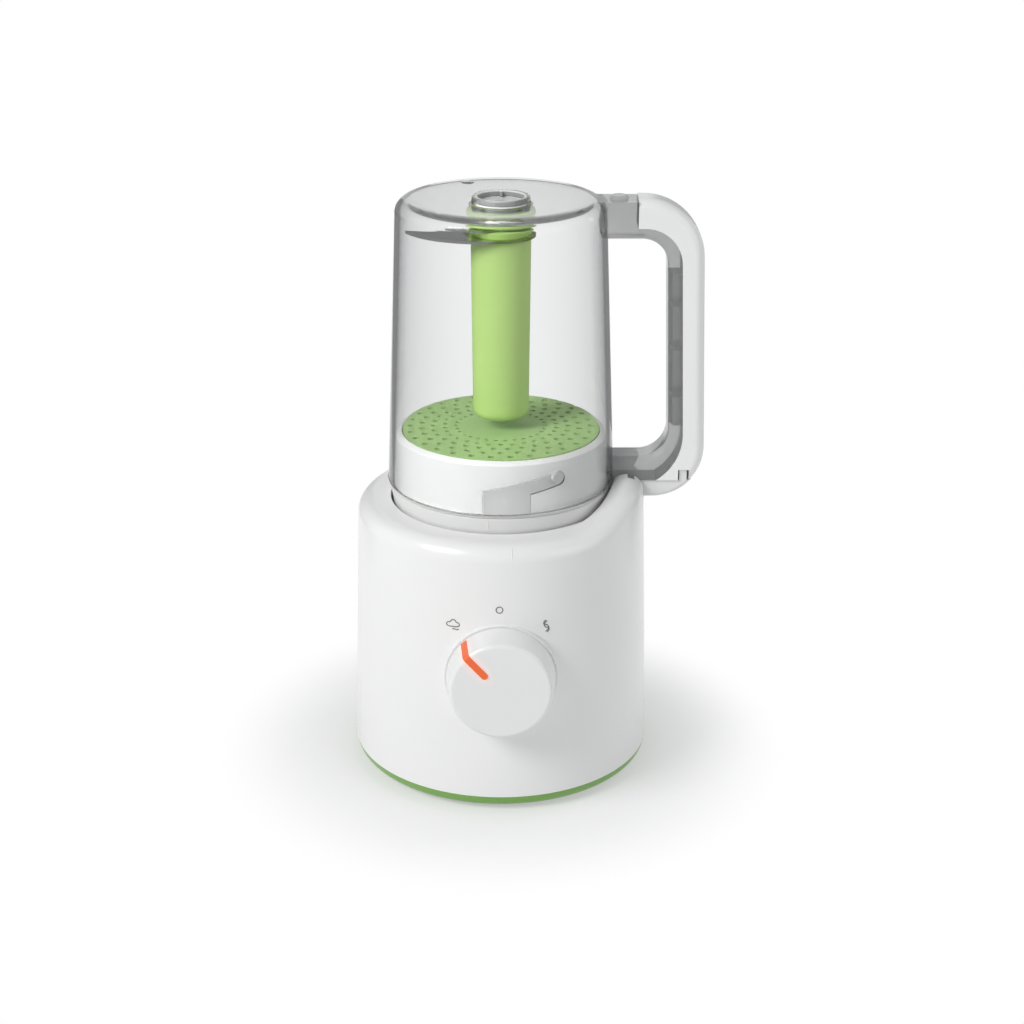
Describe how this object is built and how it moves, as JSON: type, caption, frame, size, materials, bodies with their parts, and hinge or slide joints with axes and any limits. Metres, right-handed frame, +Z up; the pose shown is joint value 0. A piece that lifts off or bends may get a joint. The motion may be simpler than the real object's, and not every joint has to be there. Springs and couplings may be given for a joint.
{
  "type": "baby food maker",
  "caption": "Baby food steamer and blender: a clear handled jar stands inverted on a round motor base with a front knob, twist-on lid, sieve, sickle blades and a boiler.",
  "frame": {"origin": "the base's upright axis at the floor, between the feet", "axes": "+Z up, -Y towards the knob at the front, +X towards the jar's handle"},
  "size_m": [0.1848, 0.1768, 0.3052],
  "materials": {
    "white_plastic": "smooth moulded white plastic",
    "band_green": "smooth moulded green plastic",
    "hub_green": "moulded light green plastic",
    "sieve_green": "moulded pale green plastic",
    "clear_jar": "clear moulded plastic",
    "smoky_clear": "smoky clear moulded plastic",
    "pointer_orange": "lit orange light guide",
    "blade_steel": "ground stainless steel",
    "plain_steel": "turned steel",
    "boiler_metal": "drawn aluminium",
    "stator_iron": "stacked sheet iron",
    "copper_wire": "enamelled winding wire",
    "black_rubber": "soft black rubber",
    "pale_seal": "pale silicone",
    "black_plastic": "black moulded plastic",
    "grey_plastic": "grey moulded plastic",
    "board_green": "circuit board laminate"
  },
  "bodies": {
    "base": {"base_housing": "white_plastic", "jar_well": "white_plastic", "bottom_cover": "band_green", "rubber_feet": "black_rubber", "cover_screws": "plain_steel", "cord_gland": "black_rubber", "rotary_switch": "black_plastic", "indicator_lamp": "pointer_orange", "motor_stator": "stator_iron", "stator_coils": "copper_wire", "lower_bracket": "plain_steel", "upper_bracket": "plain_steel", "motor_screws": "plain_steel", "bracket_screws": "plain_steel", "lower_bearing": "plain_steel", "upper_bearing": "plain_steel", "shaft_seal": "pale_seal", "boiler_tank": "boiler_metal", "boiler_gasket": "pale_seal", "boiler_top": "grey_plastic", "heating_element": "boiler_metal", "thermostat": "boiler_metal", "steam_nozzle": "grey_plastic", "steam_tube": "pale_seal", "control_board": "board_green", "interlock_switch": "black_plastic"},
    "knob": {"control_knob": "white_plastic", "knob_pointer": "pointer_orange", "switch_shaft": "grey_plastic"},
    "drive": {"armature": "stator_iron", "motor_shaft": "plain_steel", "cooling_fan": "black_plastic", "base_coupling": "grey_plastic"},
    "cap": {"filler_cap": "white_plastic", "filler_seal": "pale_seal"},
    "plunger": {"interlock_plunger": "grey_plastic"},
    "lid": {"jar_lid": "white_plastic", "lid_steam_seal": "pale_seal", "sieve": "sieve_green"},
    "seal_ring": {"jar_seal": "pale_seal"},
    "jar": {"jar": "clear_jar", "jar_bush": "grey_plastic", "handle_frame": "smoky_clear", "handle_cover": "white_plastic"},
    "blades": {"blade_hub": "hub_green", "blade_collar": "hub_green", "lower_blade": "blade_steel", "upper_blade": "blade_steel", "blade_nut": "hub_green", "drive_spindle": "plain_steel", "jar_coupling": "white_plastic"}
  },
  "joints": [
    {"name": "knob_turn", "type": "hinge", "parent": "base", "child": "knob", "pos_m": [0, -0.086, 0.0776], "axis": [0, 1, 0], "range_deg": [0, 84]},
    {"name": "drive_spin", "type": "hinge", "parent": "base", "child": "drive", "pos_m": [0, 0, 0.08], "axis": [0, 0, 1], "continuous": true},
    {"name": "cap_turn", "type": "hinge", "parent": "base", "child": "cap", "pos_m": [-0.0188, 0.0336, 0.13], "axis": [0, 0, 1], "range_deg": [0, 90]},
    {"name": "plunger_press", "type": "slide", "parent": "base", "child": "plunger", "axis": [0, 0, -1], "range_m": [0, 0.002], "stiffness_N_per_m": 300, "springref_m": -0.001},
    {"name": "lid_lift", "type": "slide", "parent": "base", "child": "lid", "axis": [0, 0, 1], "range_m": [0, 0.06]},
    {"name": "jar_rise", "type": "slide", "parent": "lid", "child": "seal_ring", "axis": [0, 0, 1], "range_m": [0, 0.0036]},
    {"name": "jar_turn", "type": "hinge", "parent": "seal_ring", "child": "jar", "pos_m": [0, 0, 0.17], "axis": [0, 0, 1], "range_deg": [0, 18]},
    {"name": "blade_spin", "type": "hinge", "parent": "jar", "child": "blades", "pos_m": [0, 0, 0.29], "axis": [0, 0, 1], "continuous": true}
  ],
  "couplings": [
    {"joint": "jar_rise", "follows": "jar_turn", "m_per_rad": 0.01145}
  ]
}
